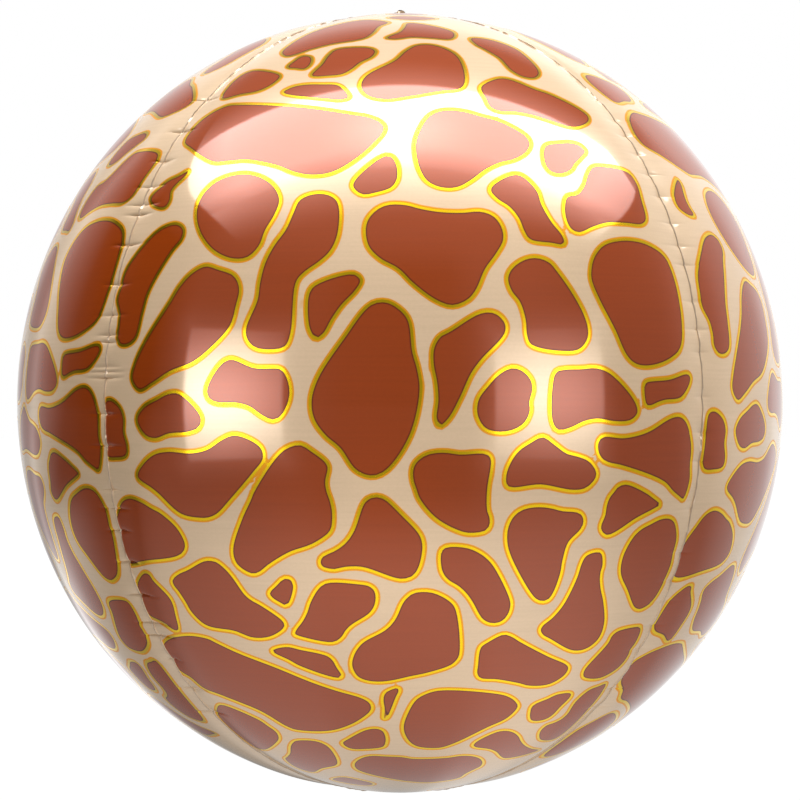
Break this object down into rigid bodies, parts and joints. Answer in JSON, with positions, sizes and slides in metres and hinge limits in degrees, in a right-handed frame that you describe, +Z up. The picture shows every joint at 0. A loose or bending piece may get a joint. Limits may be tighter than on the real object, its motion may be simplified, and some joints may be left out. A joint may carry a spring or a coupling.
{
  "type": "foil balloon",
  "caption": "Round inflated foil balloon with a giraffe-patch print on welded panels and a flat filling neck folded under it.",
  "frame": {"origin": "on the ground under the middle of the balloon, at the centre of the small flat it rests on", "axes": "+Z up along the line through both poles, -Y out through the middle of the front panel, +Y the way the filling neck is folded"},
  "size_m": [0.3928, 0.3928, 0.4027],
  "materials": {
    "printed_foil": "glossy metallised film printed with brown giraffe patches, edged in yellow, on cream",
    "neck_foil": "glossy metallised film, two layers welded flat"
  },
  "bodies": {
    "root": {"front_panel": "printed_foil", "right_panel": "printed_foil", "back_panel": "printed_foil", "left_panel": "printed_foil", "filling_neck": "neck_foil"}
  },
  "joints": []
}
